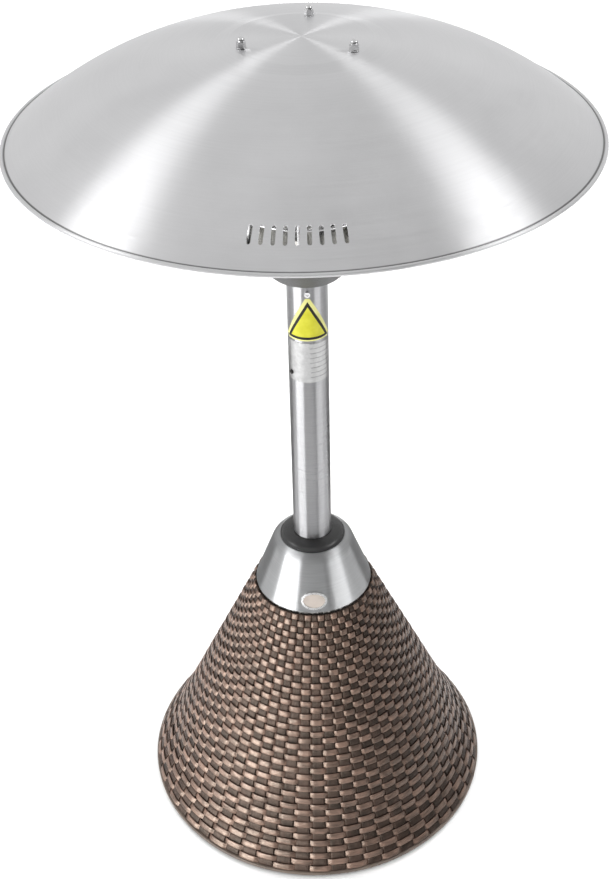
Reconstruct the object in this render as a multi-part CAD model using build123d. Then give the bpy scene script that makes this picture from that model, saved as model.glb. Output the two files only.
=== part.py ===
from build123d import *
import math
import os

# Table-top electric patio heater. Millimetres, +Z up, origin on the table under the
# middle of the base, -Y is the front. Each function below makes one physical piece,
# or one group of identical pieces, where it sits in the assembled heater.

# ---------------------------------------------------------------- driving sizes
fit_gap = 0.2                 # clearance of a screw, lead or sleeve in its hole
running_gap = 0.05            # radial clearance of a turning or sliding pin
m3, m4, m6, m8 = 1.5, 2.0, 3.0, 4.0     # radii of the screws

base_radius = 214.5           # outer radius of the edging round the foot of the base
base_top_radius = 73.4        # outer radius of the woven cover at its top
base_top_z = 298.0            # top of the woven cover
flare_height = 40.0           # the cover runs straight above this and flares out below
flare_width = 22.0            # how far the flare reaches out
flare_bulge = 1.5             # how far the flare bows outwards
weave_thickness = 5.5         # woven cover, measured along the radius
liner_thickness = 1.7         # shell under the weave, measured along the radius

foot_height = 4.0
foot_radius = 14.0
foot_recess = 2.4             # depth of the hollow for the screw's head
foot_inset = 22.5             # from the base plate's edge to the edge of a foot
plate_thickness = 3.0         # base plate
edging_width = 6.0
edging_drop = 1.0             # the edging covers this much more than the plate's edge
edging_proud = 1.0            # it also stands out this far past the weave

ballast_height = 22.0
ballast_room = 78.5           # from the ballast to the base plate's edge, for the tip-over switch
flange_clearance = 10.0       # from the post's flange to the ballast

post_radius = 22.5
post_wall = 1.5
post_top = 729.0
flange_width = 27.5
flange_thickness = 4.0

top_plate_thickness = 3.2     # disc that the steel cone stands on
cone_step = 3.2               # the cone's foot is this much smaller in radius than the weave's top
cone_height = 66.0
cone_shoulder_drop = 10.0     # height of the rounded shoulder below the cone's mouth
cone_half_angle = 20.4        # degrees
cone_wall = 1.2
collar_width = 16.2           # from the post to the cone's mouth
collar_height = 8.0           # collar above the cone's mouth
collar_depth = 10.0           # collar inside the cone's mouth

dome_radius = 300.0
dome_drop = 94.0              # from the crease round the crown down to the rim
dome_hem = 1.9                # radius of the rolled hem round the rim
dome_lip = 4.5                # the skirt's curve ends this far inside the rim
dome_bow = 18.0               # bulge of the skirt above the straight line from step to lip
dome_wall = 1.2
crown_radius = 70.0
crown_step = 16.0             # width of the sloping step between the crown and the skirt
crown_step_fall = 4.0         # how far the step comes down
crown_gap = 32.5              # from the upper lamp plate to the height of the crease
crown_rise = 2.0
vent_count = 9                # row of plain slots near the front edge of the dome
vent_length = 16.0
vent_width = 4.0
vent_pitch = 2.16             # degrees between slots
vent_inset = 32.0             # from the rim to the middle of the slots
vent_turn = -1.5              # degrees, the row sits a little left of the front

bowl_step = 16.5              # from the post to the edge of the bowl's flat bottom
bowl_height = 45.0            # the bowl flares at 45 degrees, so it widens as much
bowl_wall = 1.5
plate_sink = 6.0              # the lower lamp plate lies this far below the bowl's rim
lamp_plate_wall = 2.0
spigot_length = 32.5          # sleeve inside the post
spigot_wall = 3.0
standoff_step = 6.5           # from the post's surface to the standoffs' centres
standoff_turn = 40.0          # degrees from +X
stud_inset = 21.8             # from the bowl's rim to the studs
pillar_radius = 4.5           # pillars in the bowl, and spacer tubes on the studs
stud_radius = 2.5
stud_turn = 82.6              # degrees from +X to the rear stud
lamp_inset = 32.0             # from the bowl's rim to the lamps
lamp_turn = 22.6              # degrees from +X to the first lamp
lamp_radius = 5.5
lamp_wall = 1.0
lamp_cap_radius = 7.5
lamp_cap_length = 16.0
lamp_holder_radius = 9.5
lamp_holder_height = 8.0
reflector_gap = 12.0          # the reflector's corners lie this far inside the lamps' circle
reflector_flute = 24.0        # radius of the hollow behind each lamp
reflector_wall = 1.5
cage_height = 176.0           # guard, from the bowl's rim to the upper lamp plate
cage_wire = 1.3
cage_hoop_wire = 1.6
cage_bars = 18
cage_hoops = 5
cage_turn = 5.0               # degrees from +X to the first bar

acorn_height = 10.0
acorn_flats = 8.0
washer_radius = 5.0
washer_thickness = 1.0

label_thickness = 0.3
triangle_drop = 23.0          # from the top of the post to the top of the triangular label
triangle_height = 53.0
triangle_half_arc = 29.0      # half the width of the triangle, measured round the post
rating_drop = 79.0            # from the top of the post to the top of the silver label
rating_height = 51.0
rating_half_angle = 75.0      # degrees
spigot_screw_drop = 17.5
rivet_drop = 121.0
rivet_azimuth = -56.0         # degrees from the front, towards -X

badge_width = 31.0
badge_length = 22.0
badge_border = 2.4
badge_height = 14.0           # centre of the badge above the cone's bottom edge

switch_height = 25.0          # centre of the switch above the cone's bottom edge
switch_width = 15.0
switch_length = 21.0
switch_border = 2.2           # how far the bezel stands out of the cone
switch_overlap = 1.0          # how far the bezel covers the cone round the cut-out
switch_wall = 1.0
switch_depth = 15.0
switch_blade = 6.0
rocker_radius = 7.8
rocker_back = 3.6             # depth of the paddle behind its pivot
rocker_crest = 1.5            # height of the dip between its two halves, above the pivot
rocker_pivot = 0.5            # depth of the rocker's pivot below the bezel's face
rocker_tilt = 10.0            # degrees each side of the middle
rocker_pin = 1.0

gland_flange_radius = 12.0
gland_body_radius = 8.0
cord_radius = 3.5             # the mains cord that the gland takes

lead_radius = 4.0
lead_bend = 28.0
switch_lead_radius = 2.5
switch_lead_bend = 60.0
block_size = (34.0, 20.0, 16.0)
block_holes = (-10.0, 0.0, 10.0)
block_screw = 3.0
connector_height = 15.0

bracket_width = 14.0          # the tip-over switch stands on the +X side of the ballast
bracket_wall = 1.5
bracket_face_y = 5.0          # the microswitch is fixed to this face
bracket_foot = 12.5
bracket_holes = (10.0, 15.0)  # distances from the middle of the switch
plunger_radius = 4.0
plunger_travel = 5.0
plunger_collar = 7.4
plunger_stem = 2.5
plunger_nose = 1.5
housing_radius = 10.5
housing_height = 22.0
housing_cap = 2.5
spring_radius = 5.3
spring_wire = 0.6
lever_reach = 16.0            # from the lever's pivot to the plunger
lever_rise = 6.0              # from the top of the plunger's turret to the lever
lever_thickness = 0.8
lever_pin_radius = 1.0

# ---------------------------------------------------------------- derived sizes
plate_bottom = foot_height
plate_top = plate_bottom + plate_thickness
base_plate_radius = base_radius - edging_width
foot_circle = base_plate_radius - foot_inset - foot_radius
flange_radius = post_radius + flange_width
flange_screw_circle = post_radius + flange_width / 2 + 2
ballast_top = plate_top + ballast_height
ballast_inner = flange_radius + flange_clearance
ballast_outer = base_plate_radius - ballast_room
ballast_middle = (ballast_inner + ballast_outer) / 2

cone_bottom_radius = base_top_radius - cone_step
cone_mouth_radius = post_radius + collar_width
cone_z = base_top_z + top_plate_thickness
mouth_z = cone_z + cone_height

bowl_bottom_radius = post_radius + bowl_step
bowl_top = post_top + bowl_height
bowl_top_radius = bowl_bottom_radius + bowl_height
lower_plate_z = bowl_top - plate_sink
lower_plate_top = lower_plate_z + lamp_plate_wall
upper_plate_z = bowl_top + cage_height
crown_z = upper_plate_z + lamp_plate_wall + crown_gap
dome_rim_z = crown_z - dome_drop
spigot_flange_bottom = post_top + bowl_wall
spigot_flange_top = spigot_flange_bottom + spigot_wall
standoff_circle = post_radius + standoff_step
spigot_flange_radius = standoff_circle + 5
stud_circle = bowl_top_radius - stud_inset
lamp_circle = bowl_top_radius - lamp_inset
reflector_radius = lamp_circle - reflector_gap
cage_radius = bowl_top_radius - cage_hoop_wire - 0.1
cage_bar_circle = cage_radius + cage_hoop_wire + cage_wire
connector_bottom = lower_plate_z - connector_height

triangle_top = post_top - triangle_drop
rating_bottom = post_top - rating_drop - rating_height
spigot_screw_z = post_top - spigot_screw_drop
rivet_z = post_top - rivet_drop
head_screw_turns = (0, 120, 240)

block_y = ballast_middle
block_z = ballast_top + block_size[2] / 2
gland_z = block_z
switch_wall_width = switch_width - 2 * switch_overlap - 2 * fit_gap
bracket_x = ballast_outer + bracket_width / 2 + 3
tip_x = bracket_x + bracket_width / 2 + housing_radius + 1
housing_top = plate_top + housing_height
lever_z = housing_top + lever_rise
nose_z = lever_z - lever_thickness / 2 - 0.3
foot_angles = (45, 135, 225, 315)


# ---------------------------------------------------------------- drawing helpers
def rod(radius, bottom, top, x=0, y=0):
    """An upright cylinder between two heights."""
    upright = Cylinder(radius, top - bottom, align=(Align.CENTER, Align.CENTER, Align.MIN))
    return Pos(x, y, bottom) * upright


def ring(outer, inner, bottom, top, x=0, y=0):
    """An upright tube between two heights."""
    return rod(outer, bottom, top, x, y) - rod(inner, bottom - 1, top + 1, x, y)


def turned(*edges):
    """A solid of revolution about Z from edges drawn as (radius, height)."""
    return revolve(Plane.XZ * make_face(edges), Axis.Z)


def lathe(*points):
    """A solid of revolution about Z from the corners of its section."""
    return turned(Polyline(*points, close=True))


def spots(circle, count, turn):
    """Centres of equally spaced things on a circle about Z."""
    angles = [math.radians(turn + 360 / count * i) for i in range(count)]
    return [(circle * math.cos(a), circle * math.sin(a)) for a in angles]


def screw(shank, length, head, head_height):
    """A pan-head screw with a cross recess, standing on its tip at the origin."""
    body = rod(shank, 0, length) + rod(head, length, length + head_height)
    recess = Box(head, head / 4, head_height) + Box(head / 4, head, head_height)
    return body - Pos(0, 0, length + head_height) * recess


def hex_bolt(shank, length, flats, head_height):
    """A hexagon-head bolt, standing on its tip at the origin."""
    head = extrude(RegularPolygon(flats / 2, 6, major_radius=False), head_height)
    return rod(shank, 0, length) + Pos(0, 0, length) * head


def lead(points, bends, radius):
    """A round cable along straight runs joined by tangent arcs."""
    path = FilletPolyline(*points, radius=bends)
    start = Plane(origin=path @ 0, z_dir=path % 0)
    return sweep(start * Circle(radius), path=path)


def across_post(radius, z, length):
    """A cylinder through the front wall of the post, along Y."""
    return Pos(0, -post_radius, z) * Rot(90, 0, 0) * Cylinder(radius, length)


def wall_plane(azimuth_side, height):
    """A plane on the steel cone's outer wall, facing out: side is -1 at the front, 1 at the rear."""
    tilt = math.radians(cone_half_angle)
    radius = cone_radius(cone_z + height)
    outward = (0, azimuth_side * math.cos(tilt), math.sin(tilt))
    return Plane(origin=(0, azimuth_side * radius, cone_z + height), x_dir=(1, 0, 0), z_dir=outward)


# ---------------------------------------------------------------- shared outlines
def cone_radius(z):
    """Outer radius of the straight part of the steel cone at a height."""
    return cone_bottom_radius - (z - cone_z) * math.tan(math.radians(cone_half_angle))


def cover_radius(z):
    """Outer radius of the straight part of the woven cover at a height."""
    knee = base_radius - edging_proud - flare_width
    return base_top_radius + (base_top_z - z) * (knee - base_top_radius) / (base_top_z - flare_height)


def cover_edges(inset, bottom):
    """Side of the woven cover, moved in along the radius, from its top to a bottom height."""
    knee = cover_radius(flare_height) - inset
    foot = base_radius - edging_proud - inset
    middle_z = (flare_height + bottom) / 2
    middle = (knee + foot) / 2 + flare_bulge
    straight = Line((base_top_radius - inset, base_top_z), (knee, flare_height))
    flare = ThreePointArc((knee, flare_height), (middle, middle_z), (foot, bottom))
    return straight, flare


def shell(outer_inset, inner_inset, bottom):
    """A conical shell that follows the woven cover between two insets."""
    outer = cover_edges(outer_inset, bottom)
    inner = cover_edges(inner_inset, bottom)
    top = Line(outer[0] @ 0, inner[0] @ 0)
    foot = Line(outer[1] @ 1, inner[1] @ 1)
    return turned(*outer, *inner, top, foot)


def cone_block(offset):
    """The straight part of the steel cone as a solid, its wall moved out by an offset."""
    out = offset / math.cos(math.radians(cone_half_angle))
    top = mouth_z - cone_shoulder_drop
    low_radius = cone_radius(cone_z) + out
    high_radius = cone_radius(top) + out
    return lathe((0, cone_z), (low_radius, cone_z), (high_radius, top), (0, top))


def crown_height(radius):
    """Height of the crown's outer surface at a radius."""
    return crown_z + crown_rise * (1 - (radius / crown_radius) ** 2)


def stud_spots():
    """Centres of the studs."""
    return spots(stud_circle, 3, stud_turn)


def standoff_spots():
    """Centres of the pillars in the bowl."""
    return spots(standoff_circle, 3, standoff_turn)


def lamp_spots():
    """Centres of the lamps."""
    return spots(lamp_circle, 3, lamp_turn)


def ballast_bolt_spots():
    """Centres of the bolts through the ballast."""
    return spots(ballast_middle, 3, 30)


def flange_screw_spots():
    """Centres of the screws through the post's flange."""
    return spots(flange_screw_circle, 4, 45)


def bowl_inner_radius(z):
    """Inner radius of the head bowl at a height."""
    return bowl_bottom_radius + (z - post_top) - bowl_wall * math.sqrt(2)


# ---------------------------------------------------------------- base
def rubber_feet():
    """Round feet, hollowed from below for the screw heads."""
    foot = ring(foot_radius, m4 + fit_gap, 0, foot_height, foot_circle)
    foot -= rod(4.5, -1, foot_recess, foot_circle)
    return [Rot(0, 0, angle) * foot for angle in foot_angles]


def foot_screws():
    """Screws that hold the feet up to the base plate."""
    hung = Rot(180, 0, 0) * screw(m4, foot_height, 4, 1.8)
    one = Pos(foot_circle, 0, foot_recess + foot_height) * hung
    return [Rot(0, 0, angle) * one for angle in foot_angles]


def base_plate():
    """Steel disc that carries everything."""
    plate = rod(base_plate_radius - fit_gap, plate_bottom, plate_top)
    for angle in foot_angles:
        plate -= Rot(0, 0, angle) * rod(m4, 0, 20, foot_circle)
    for x, y in ballast_bolt_spots():
        plate -= rod(m8, 0, 20, x, y)
    for x, y in flange_screw_spots():
        plate -= rod(m6, 0, 20, x, y)
    for y in bracket_holes:
        plate -= rod(m3, 0, 20, bracket_x, y)
    return plate - rod(plunger_radius + running_gap, 0, 20, tip_x)


def base_edging():
    """Rounded strip round the foot of the base, closing the plate's edge and the weave's end."""
    strip = ring(base_radius, base_plate_radius, plate_bottom - edging_drop, plate_top)
    rim = strip.edges().filter_by(GeomType.CIRCLE).sort_by(SortBy.RADIUS)[-2:]
    return fillet(rim, 1.2)


def ballast_weight():
    """Cast ring that keeps the heater upright, with bolt holes."""
    weight = ring(ballast_outer, ballast_inner, plate_top, ballast_top)
    weight = fillet(weight.edges().group_by(Axis.Z)[-1], 2)
    for x, y in ballast_bolt_spots():
        weight -= rod(m8 + fit_gap, 0, ballast_top + 1, x, y)
    return weight


def ballast_bolts():
    """Bolts through the ballast into the base plate."""
    length = ballast_top - plate_bottom
    one = Pos(0, 0, plate_bottom) * hex_bolt(m8, length, 13, 5.3)
    return [Pos(x, y) * one for x, y in ballast_bolt_spots()]


def post_flange():
    """Disc welded round the foot of the post."""
    flange = ring(flange_radius, post_radius, plate_top, plate_top + flange_thickness)
    for x, y in flange_screw_spots():
        flange -= rod(m6 + fit_gap, 0, 20, x, y)
    return flange


def flange_screws():
    """Screws that hold the post's flange to the base plate."""
    one = Pos(0, 0, plate_bottom) * hex_bolt(m6, plate_thickness + flange_thickness, 10, 4)
    return [Pos(x, y) * one for x, y in flange_screw_spots()]


def inner_shell():
    """Thin conical liner on the base plate, which carries the top plate and backs the weave."""
    inset = weave_thickness
    liner = shell(inset, inset + liner_thickness, plate_top)
    return liner - gland_hole()


def wicker_cover():
    """Woven cover over the liner, as its plain outer shape."""
    return shell(0, weave_thickness, plate_top) - gland_hole()


def gland_hole():
    """Hole through the rear wall of the base for the cable gland."""
    reach = base_radius
    return Pos(0, reach, gland_z) * Rot(90, 0, 0) * Cylinder(gland_body_radius + fit_gap, reach)


def top_plate():
    """Disc on top of the liner, under the steel cone, with holes for the post and the switch lead."""
    plate = rod(cone_bottom_radius - 0.8, base_top_z, cone_z) - rod(post_radius + fit_gap, 0, cone_z + 1)
    return plate - rod(switch_lead_radius + fit_gap, 0, cone_z + 1, 0, switch_lead_y)


# ---------------------------------------------------------------- steel cone and collar
def steel_cone():
    """Spun cone over the top of the base, with a rounded shoulder and a small lip at its mouth."""
    knee_z = mouth_z - cone_shoulder_drop
    wall = cone_wall / math.cos(math.radians(cone_half_angle))
    knee = cone_radius(knee_z)
    lip = cone_mouth_radius
    lean = (knee - cone_radius(knee_z + 1))
    outer = Line((cone_bottom_radius, cone_z), (knee, knee_z))
    shoulder = TangentArc((knee, knee_z), (lip + 2.2, mouth_z - 0.6), tangent=(-lean, 1))
    inner = Line((cone_bottom_radius - wall, cone_z), (knee - wall, knee_z))
    under = TangentArc((knee - wall, knee_z), (lip + 1.6, mouth_z - 1.8), tangent=(-lean, 1))
    edge = Polyline(shoulder @ 1, (lip + 1.2, mouth_z), (lip, mouth_z), (lip, mouth_z - 2.4), under @ 1)
    foot = Line(outer @ 0, inner @ 0)
    cone = turned(outer, shoulder, edge, under, inner, foot)
    cutout = Box(switch_width - 2 * switch_overlap, switch_length - 2 * switch_overlap, 20)
    return cone - wall_plane(1, switch_height) * cutout


def collar_ring():
    """Rounded rubber ring between the post and the mouth of the cone."""
    inner = post_radius
    outer = cone_mouth_radius - 0.2
    low = mouth_z - collar_depth
    top = mouth_z + collar_height
    sides = Polyline((outer, mouth_z + 2), (outer, low), (inner, low), (inner, top), (inner + 2, top))
    hump = ((inner + outer) / 2, top - 1.2)
    crown = Spline((inner + 2, top), hump, (outer - 2.5, mouth_z + 4.6), (outer, mouth_z + 2))
    return turned(sides, crown)


def oval_on_cone(width, length, thickness, sunk=0.0):
    """An oval plate that follows the front of the steel cone."""
    oval = wall_plane(-1, badge_height) * extrude(Ellipse(width / 2, length / 2), 12, both=True)
    return oval & (cone_block(thickness) - cone_block(sunk))


def badge_rim():
    """Bright oval ring on the front of the cone."""
    hole = oval_on_cone(badge_width - 2 * badge_border, badge_length - 2 * badge_border, 9, -9)
    return oval_on_cone(badge_width, badge_length, 1.6) - hole


def badge_insert():
    """Blank plate inside the oval ring."""
    return oval_on_cone(badge_width - 2 * badge_border, badge_length - 2 * badge_border, 1.0)


# ---------------------------------------------------------------- rocker switch
def switch_housing():
    """Switch body and bezel; the bezel's back follows the cone and a pocket holds the rocker."""
    wall_length = switch_length - 2 * switch_overlap - 2 * fit_gap
    body = Pos(0, 0, -switch_depth / 2) * Box(switch_wall_width, wall_length, switch_depth)
    bezel = Pos(0, 0, switch_border / 2 - 2) * Box(switch_width, switch_length, switch_border + 4)
    outside = wall_plane(1, switch_height) * bezel - cone_block(0)
    pocket_width = switch_wall_width - 2 * switch_wall
    pocket_length = 2 * rocker_radius + 4 * fit_gap
    centre = Pos(0, 0, switch_border - rocker_pivot)
    pocket = centre * Box(pocket_width, pocket_length, 2 * rocker_radius)
    pin_hole = centre * Rot(0, 90, 0) * Cylinder(rocker_pin + running_gap, switch_wall_width)
    inside = wall_plane(1, switch_height) * body
    return (outside + inside) - wall_plane(1, switch_height) * (pocket + pin_hole)


def switch_rocker():
    """Rocker paddle with its pivot pins, set with its upper end pressed in."""
    width = switch_wall_width - 2 * switch_wall - 2 * fit_gap
    reach = rocker_radius + 2
    rise = reach * math.tan(math.radians(rocker_tilt))
    back = -rocker_back
    crest = rocker_crest + rise
    corners = [(-reach, back), (reach, back), (reach, crest), (0, rocker_crest), (-reach, crest)]
    section = make_face(Polyline(*corners, close=True)) & Circle(rocker_radius)
    paddle = extrude(Plane.YZ * section, width / 2, both=True)
    pins = Rot(0, 90, 0) * Cylinder(rocker_pin, width + 1.6)
    at_rest = Rot(rocker_tilt, 0, 0) * (paddle + pins)
    return pivot_frame() * at_rest


def pivot_frame():
    """The rocker's pivot: X along its pins, Z out of the cone's wall, Y up the slope."""
    place = wall_plane(1, switch_height).offset(switch_border - rocker_pivot)
    return Plane(origin=place.origin, x_dir=(-1, 0, 0), z_dir=place.z_dir)


def switch_terminals():
    """Spade blades at the back of the switch."""
    blade = Pos(0, 0, -switch_depth - switch_blade / 2) * Box(0.8, 4.8, switch_blade)
    return [wall_plane(1, switch_height) * (Pos(x, y) * blade) for x in (-3, 3) for y in (-4, 4)]


# ---------------------------------------------------------------- electrics in the base
def gland_core():
    """Axis piece of the gland: a cylinder along Y through the rear wall."""
    return Pos(0, 0, gland_z) * Rot(-90, 0, 0)


def cable_gland():
    """Gland with a flange that follows the rear wall, bored for the mains cord."""
    wall = cover_radius(gland_z)
    inside = wall - 24
    flange = gland_core() * rod(gland_flange_radius, wall - 30, wall + 30)
    flange &= shell(-3.0, 0, plate_top)
    tube = gland_core() * rod(gland_body_radius, inside, wall + 6)
    bore = gland_core() * rod(cord_radius + fit_gap, inside - 5, wall + 40)
    return flange + tube - bore


def gland_nut():
    """Ring nut on the gland inside the base."""
    wall = cover_radius(gland_z)
    return gland_core() * ring(gland_flange_radius, gland_body_radius, wall - 23, wall - 18)


def terminal_block():
    """Block on the ballast where the mains cord and both inner leads meet."""
    width, depth, height = block_size
    block = Pos(0, block_y, block_z) * Box(width, depth, height)
    for x in block_holes:
        block -= rod(block_screw + fit_gap, block_z + height / 2 - 3, block_z + height, x, block_y)
    return block


def terminal_screws():
    """Brass clamping screws in the terminal block."""
    bottom = block_z + block_size[2] / 2 - 3
    one = rod(block_screw, 0, 2) - Pos(0, 0, 2) * Box(7, 0.8, 1.6)
    return [Pos(x, block_y, bottom) * one for x in block_holes]


def post_lead():
    """Heat-resistant lead from the terminal block up the middle of the post to the head."""
    start = block_y - block_size[1] / 2
    points = [(0, start, block_z), (0, 0, block_z), (0, 0, connector_bottom)]
    return lead(points, lead_bend, lead_radius)


def switch_lead():
    """Thin lead from the terminal block up to the rocker switch."""
    top = block_z + block_size[2] / 2
    y = block_y + 6
    third = (switch_lead_top - top) / 3
    first = [(5, y, top), (5, y, top + third)]
    last = [(0, switch_lead_y, top + 2 * third), (0, switch_lead_y, switch_lead_top)]
    return lead(first + last, switch_lead_bend, switch_lead_radius)


# ---------------------------------------------------------------- tip-over switch
def plunger_housing():
    """Turret on the base plate that guides the plunger and holds its spring."""
    cap_bottom = housing_top - housing_cap
    turret = ring(housing_radius, plunger_collar + 0.5, plate_top, cap_bottom, tip_x)
    return turret + ring(housing_radius, plunger_stem + running_gap, cap_bottom, housing_top, tip_x)


def tip_plunger():
    """Plunger that the table pushes up; it drops when the heater is lifted or tips over."""
    collar_bottom = plate_top + plunger_travel + 0.2
    foot = rod(plunger_radius, 0, collar_bottom, tip_x)
    foot = chamfer(foot.edges().group_by(Axis.Z)[0], 0.8)
    collar = rod(plunger_collar, collar_bottom, collar_bottom + 2, tip_x)
    stem = rod(plunger_stem, collar_bottom + 2, nose_z - 4, tip_x)
    nose = rod(plunger_nose, nose_z - 4, nose_z - plunger_nose, tip_x)
    tip = Pos(tip_x, 0, nose_z - plunger_nose) * Sphere(plunger_nose)
    return foot + collar + stem + nose + tip


def tip_spring():
    """Compression spring between the plunger's collar and the top of its turret."""
    low = plate_top + plunger_travel + 0.2 + 2 + spring_wire
    high = housing_top - housing_cap - spring_wire
    coil = Helix(pitch=(high - low) / 5, height=high - low, radius=spring_radius)
    start = Plane(origin=coil @ 0, z_dir=coil % 0)
    return Pos(tip_x, 0, low) * sweep(start * Circle(spring_wire), path=coil, is_frenet=True)


def tip_switch_body():
    """Microswitch case above the lever, with two ears for the lever's pin."""
    pivot_x = tip_x - lever_reach
    case = Pos(pivot_x + 4, 0, lever_z + 8) * Box(16, 10, 12)
    ear = Pos(pivot_x, 0, lever_z - 1) * Box(7, 1.7, 8)
    ears = Pos(0, 4.15, 0) * ear + Pos(0, -4.15, 0) * ear
    return case + ears - Pos(pivot_x, 0, lever_z) * Rot(90, 0, 0) * Cylinder(lever_pin_radius, 12)


def lever_pin():
    """Pin that the lever turns on."""
    return Pos(tip_x - lever_reach, 0, lever_z) * Rot(90, 0, 0) * Cylinder(lever_pin_radius, 10)


def tip_switch_lever():
    """Thin lever between the plunger's nose and the microswitch."""
    pivot_x = tip_x - lever_reach
    knuckle = Pos(pivot_x, 0, lever_z) * Rot(90, 0, 0) * Cylinder(1.9, 5.8)
    blade = Pos(pivot_x + lever_reach / 2 + 1, 0, lever_z) * Box(lever_reach + 2, 5, lever_thickness)
    hole = Pos(pivot_x, 0, lever_z) * Rot(90, 0, 0) * Cylinder(lever_pin_radius + running_gap, 12)
    return knuckle + blade - hole


def tip_switch_bracket():
    """Bent bracket that holds the microswitch beside its plunger."""
    top = lever_z + 14
    wall = bracket_wall
    face_y = bracket_face_y
    middle_z = (plate_top + top) / 2
    upright = Pos(bracket_x, face_y + wall / 2, middle_z) * Box(bracket_width, wall, top - plate_top)
    foot_y = face_y + bracket_foot / 2
    foot = Pos(bracket_x, foot_y, plate_top + wall / 2) * Box(bracket_width, bracket_foot, wall)
    for y in bracket_holes:
        foot -= rod(m3 + fit_gap, plate_top - 1, plate_top + 3, bracket_x, y)
    return upright + foot


def bracket_screws():
    """Screws that hold the bracket to the base plate."""
    one = Pos(0, 0, plate_bottom) * screw(m3, plate_thickness + bracket_wall, 2.4, 1.4)
    return [Pos(bracket_x, y) * one for y in bracket_holes]


# ---------------------------------------------------------------- post and its labels
def post_tube():
    """Stainless post, open at both ends, with holes for the lead, three head screws and a rivet."""
    tube = ring(post_radius, post_radius - post_wall, plate_top, post_top)
    tube -= Pos(0, post_radius, block_z + 2.2) * Rot(90, 0, 0) * Cylinder(lead_radius + 3.5, 20)
    for angle in head_screw_turns:
        tube -= Rot(0, 0, angle) * across_post(m4, spigot_screw_z, 8)
    return tube - Rot(0, 0, rivet_azimuth) * across_post(m3, rivet_z, 8)


def post_rivet():
    """Small dark screw on the side of the post."""
    one = Pos(0, -post_radius + 4, rivet_z) * Rot(90, 0, 0) * screw(m3, 4, 2.6, 1.4)
    return Rot(0, 0, rivet_azimuth) * one


def post_skin(bottom, top):
    """A thin sleeve on the post's surface."""
    return ring(post_radius + label_thickness, post_radius, bottom, top)


def yellow_label():
    """Plain triangular label wrapped round the front of the post."""
    low = triangle_top - triangle_height
    half = triangle_half_arc
    across = [post_radius * math.sin(half * share / post_radius) for share in (0.08, 0.54, 1.0)]
    middle = (low + 4 + triangle_top) / 2
    right = ThreePointArc((across[0], triangle_top), (across[1], middle), (across[2], low + 4))
    left = mirror(right, Plane.YZ)
    corner = across[2] - 1.5
    rest = Polyline((across[2], low + 4), (corner, low), (-corner, low), (-across[2], low + 4))
    top = Line((across[0], triangle_top), (-across[0], triangle_top))
    prism = extrude(Plane.XZ * make_face([right, left, rest, top]), 40)
    return post_skin(low - 1, triangle_top + 1) & prism


def rating_label():
    """Blank silver label wrapped round the front of the post."""
    skin = post_skin(rating_bottom, rating_bottom + rating_height)
    half = math.radians(rating_half_angle)
    reach = 60
    corners = [(0, 0), (-reach * math.sin(half), -reach * math.cos(half)), (0, -reach * 2)]
    wedge = make_face(Polyline(*corners, (reach * math.sin(half), -reach * math.cos(half)), close=True))
    label = skin & extrude(Pos(0, 0, rating_bottom - 1) * wedge, rating_height + 2)
    return label - Rot(0, 0, rivet_azimuth) * across_post(3, rivet_z, 8)


# ---------------------------------------------------------------- heating head
def head_spigot():
    """Sleeve that plugs into the post, with a flange inside the head bowl."""
    outer = post_radius - post_wall - 0.1
    low = post_top - spigot_length
    sleeve = ring(outer, outer - spigot_wall, low, spigot_flange_top)
    flange = ring(spigot_flange_radius, outer - spigot_wall, spigot_flange_bottom, spigot_flange_top)
    for x, y in standoff_spots():
        flange -= rod(m4 + fit_gap, post_top - 1, bowl_top, x, y)
    for angle in head_screw_turns:
        sleeve -= Rot(0, 0, angle) * across_post(m4, spigot_screw_z, 14)
    return sleeve + flange


def spigot_screws():
    """Three screws through the post into the spigot, one at the front."""
    one = Pos(0, -post_radius + 4.5, spigot_screw_z) * Rot(90, 0, 0) * screw(m4, 4.5, 3.2, 2)
    return [Rot(0, 0, angle) * one for angle in head_screw_turns]


def head_bowl():
    """Dark bowl under the head, flaring at 45 degrees from a flat bottom."""
    inset = bowl_wall * math.sqrt(2)
    floor = post_top + bowl_wall
    bore = post_radius - post_wall
    bowl = lathe(
        (bore, post_top),
        (bowl_bottom_radius, post_top),
        (bowl_top_radius, bowl_top),
        (bowl_top_radius - inset, bowl_top),
        (bowl_inner_radius(floor), floor),
        (bore, floor),
    )
    for x, y in standoff_spots():
        bowl -= rod(m4 + fit_gap, post_top - 1, floor + 1, x, y)
    return bowl


def plate_standoffs():
    """Short pillars between the spigot's flange and the lower lamp plate."""
    bounds = (spigot_flange_top, lower_plate_z)
    return [ring(pillar_radius, m4, *bounds, x, y) for x, y in standoff_spots()]


def standoff_screws():
    """Screws into the pillars, from under the bowl and from above the lamp plate."""
    reach = 10.0
    from_below = screw(m4, reach + spigot_flange_top - post_top, 3.6, 2.4)
    up = Pos(0, 0, spigot_flange_top + reach) * Rot(180, 0, 0) * from_below
    down = Pos(0, 0, lower_plate_z - reach) * screw(m4, reach + lamp_plate_wall, 3.6, 2.4)
    return [Pos(x, y) * one for x, y in standoff_spots() for one in (up, down)]


def lamp_plate(radius, bottom):
    """A steel disc with holes for the studs."""
    plate = rod(radius, bottom, bottom + lamp_plate_wall)
    for x, y in stud_spots():
        plate -= rod(stud_radius + fit_gap, bottom - 1, bottom + lamp_plate_wall + 1, x, y)
    return plate


def lower_lamp_plate():
    """Plate in the mouth of the bowl that carries the lamps."""
    plate = lamp_plate(bowl_inner_radius(lower_plate_z) - 0.5, lower_plate_z)
    for x, y in standoff_spots():
        plate -= rod(m4 + fit_gap, lower_plate_z - 1, lower_plate_top + 1, x, y)
    return plate


def upper_lamp_plate():
    """Plate over the lamps and the guard."""
    return lamp_plate(cage_bar_circle + cage_wire + 1.5, upper_plate_z)


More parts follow.
